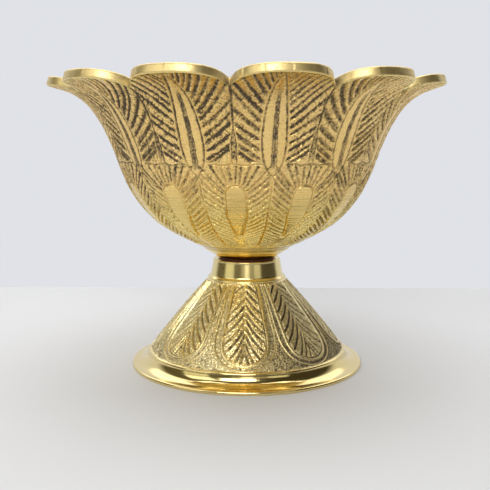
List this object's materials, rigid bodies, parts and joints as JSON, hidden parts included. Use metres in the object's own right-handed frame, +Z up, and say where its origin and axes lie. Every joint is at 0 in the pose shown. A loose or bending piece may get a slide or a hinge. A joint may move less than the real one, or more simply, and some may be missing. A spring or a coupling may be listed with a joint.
{
  "type": "diya oil lamp",
  "caption": "Brass oil lamp with a flared petal-edged bowl that screws down onto a hollow conical foot with a polished collar and flange.",
  "frame": {"origin": "centre of the foot's base ring, in the plane that the lamp stands on", "axes": "+Z up along the lamp's axis, -Y towards the front, +X to the right seen from the front"},
  "size_m": [0.0988, 0.0988, 0.0737],
  "materials": {
    "bowl_brass": "engraved, satin, darkened in the grooves",
    "foot_brass": "engraved cone, mirror-polished collar and flange",
    "stud_brass": "machined",
    "washer_fibre": "dark, matt, oil-stained",
    "nut_steel": "plated, dull"
  },
  "bodies": {
    "foot": {"foot_cone": "foot_brass", "neck_nut": "nut_steel"},
    "seat": {"seat_washer": "washer_fibre"},
    "bowl": {"petal_bowl": "bowl_brass", "threaded_stud": "stud_brass"}
  },
  "joints": [
    {"name": "bowl_turn", "type": "hinge", "parent": "foot", "child": "seat", "pos_m": [0, 0, 0.0275], "axis": [0, 0, 1], "range_deg": [0, 2340]},
    {"name": "bowl_lift", "type": "slide", "parent": "seat", "child": "bowl", "axis": [0, 0, 1], "range_m": [0, 0.00651]}
  ],
  "couplings": [
    {"joint": "bowl_lift", "follows": "bowl_turn", "m_per_rad": 0.00015915}
  ]
}
